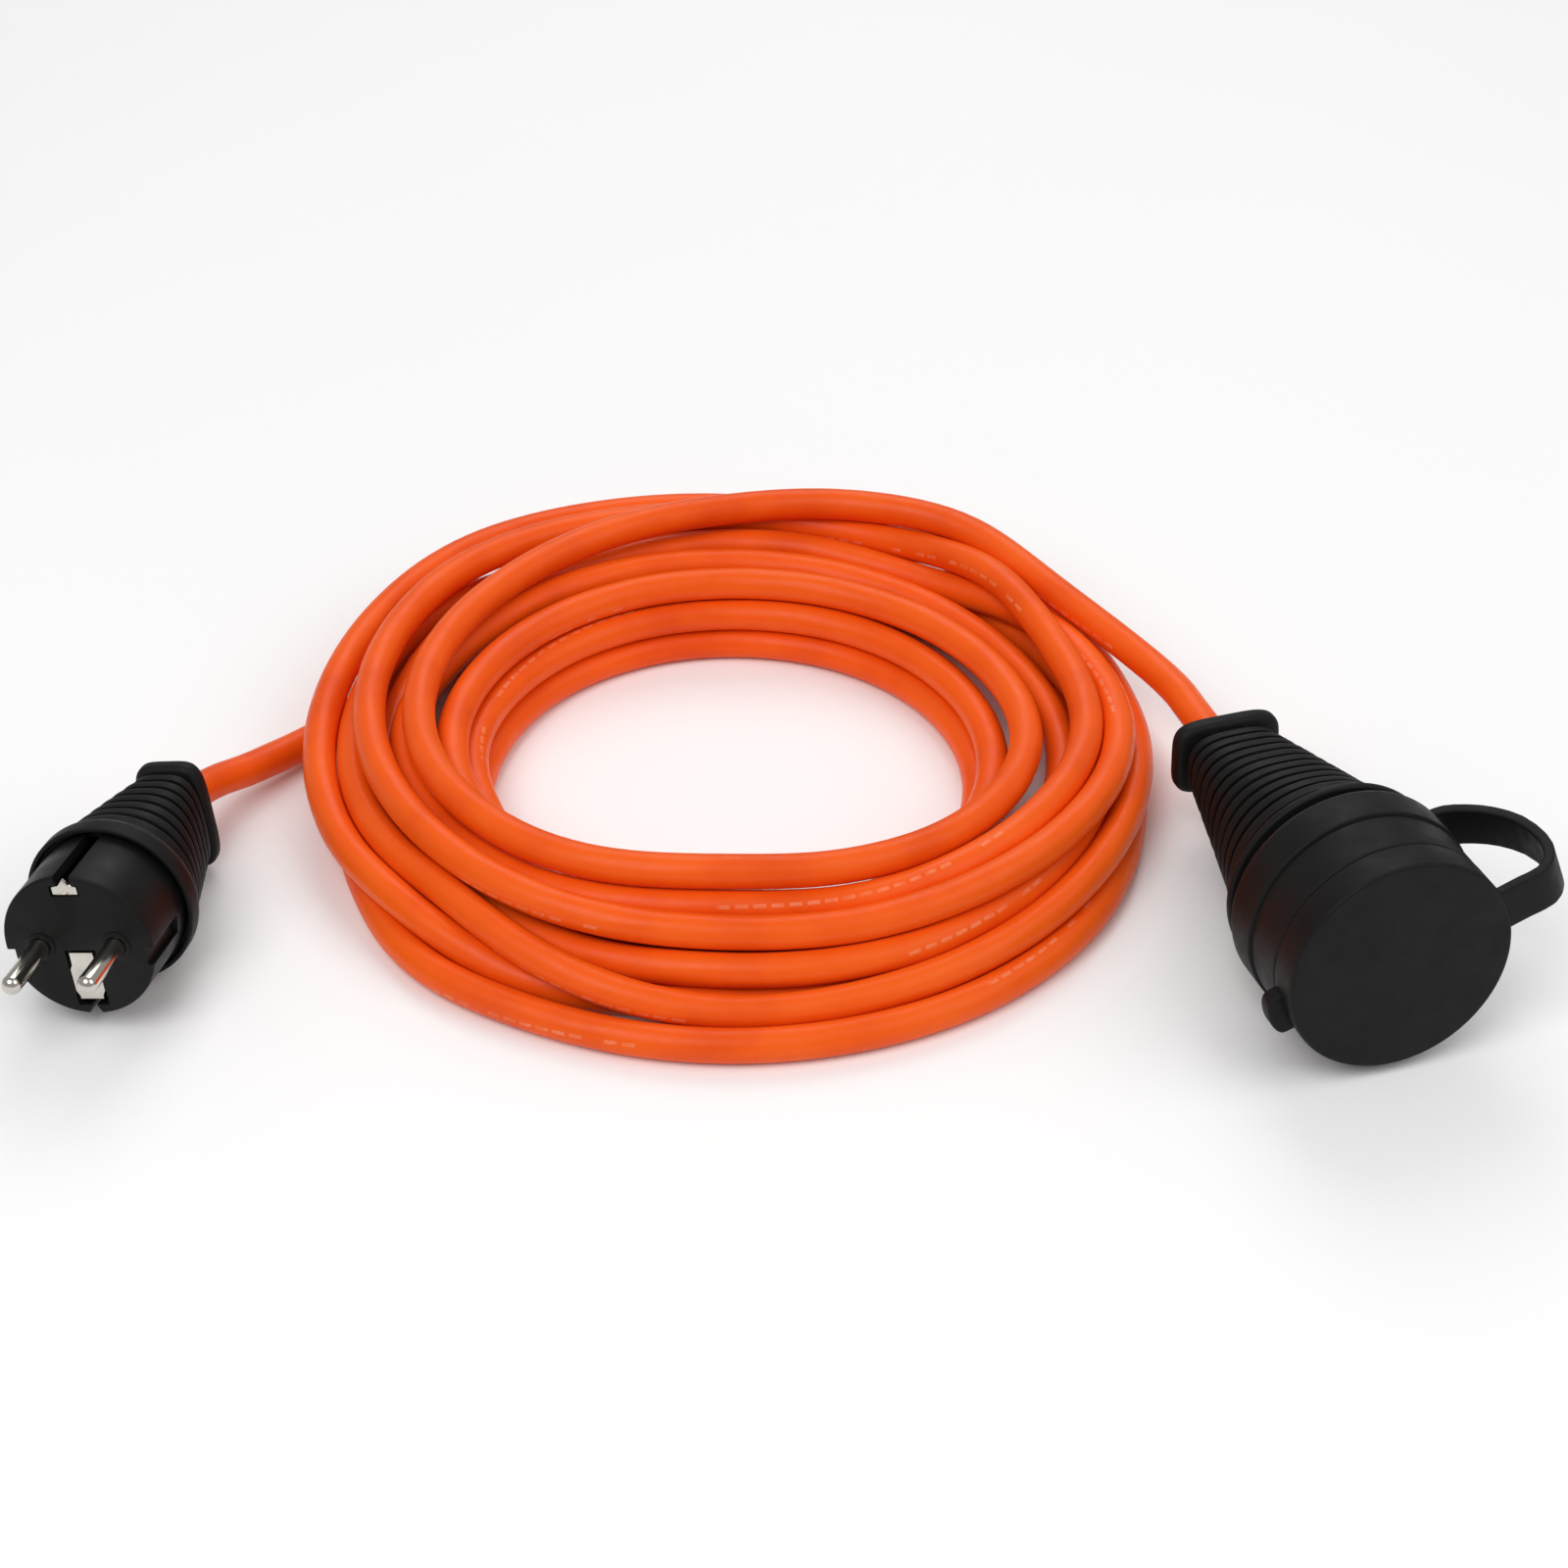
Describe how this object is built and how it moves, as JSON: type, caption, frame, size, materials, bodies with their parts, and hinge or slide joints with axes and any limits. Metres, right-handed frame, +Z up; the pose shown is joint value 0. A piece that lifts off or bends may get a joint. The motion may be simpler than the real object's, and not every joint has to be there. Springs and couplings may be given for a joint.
{
  "type": "extension cord",
  "caption": "Outdoor extension cord: coiled orange cable with a black rubber grounded plug and a rubber coupler with a tethered sealing cap.",
  "frame": {"origin": "on the plane that the object lies on, below the middle of the box round the plug, the coupler, the cap and its strap; the coil and the two free leads are not counted", "axes": "+X from the plug's side to the coupler's side, +Y from the pins and the cap towards the coil's back, +Z up"},
  "size_m": [0.3621, 0.2208, 0.0583],
  "materials": {
    "rubber_black": "matte moulded rubber",
    "carrier_black": "satin moulded",
    "nickel": "nickel plated brass",
    "brass": "plain",
    "sheath_orange": "satin cable sheath",
    "crimp_copper": "plain",
    "core_brown": "core insulation",
    "core_blue": "core insulation",
    "core_green_yellow": "core insulation"
  },
  "bodies": {
    "root": {"plug_grip": "rubber_black", "plug_insert": "carrier_black", "plug_pin_live": "nickel", "plug_pin_neutral": "nickel", "plug_earth_bracket": "nickel", "plug_earth_sleeve": "nickel", "plug_crimp_live": "crimp_copper", "plug_crimp_neutral": "crimp_copper", "plug_crimp_earth": "crimp_copper", "plug_core_live": "core_brown", "plug_core_neutral": "core_blue", "plug_core_earth": "core_green_yellow", "plug_cable_end": "sheath_orange", "socket_grip": "rubber_black", "socket_insert": "carrier_black", "socket_contact_live": "brass", "socket_contact_neutral": "brass", "socket_earth_bracket": "nickel", "socket_crimp_live": "crimp_copper", "socket_crimp_neutral": "crimp_copper", "socket_crimp_earth": "crimp_copper", "socket_core_live": "core_brown", "socket_core_neutral": "core_blue", "socket_core_earth": "core_green_yellow", "socket_cable_end": "sheath_orange", "strap_ring": "rubber_black", "cord_coil": "sheath_orange", "cord_plug_lead": "sheath_orange", "cord_socket_lead": "sheath_orange"},
    "strap": {"cap_strap": "rubber_black"},
    "cap": {"socket_cap": "rubber_black"}
  },
  "joints": [
    {"name": "cap_pull", "type": "slide", "parent": "root", "child": "strap", "axis": [0.3013, -0.95, 0.0819], "range_m": [0, 0.014], "deforming": ["cap_strap"]},
    {"name": "cap_swing", "type": "hinge", "parent": "strap", "child": "cap", "pos_m": [0.16403, -0.02865, 0.03967], "axis": [-0.3493, -0.03, 0.9365], "range_deg": [0, 100], "deforming": ["cap_strap"]}
  ]
}
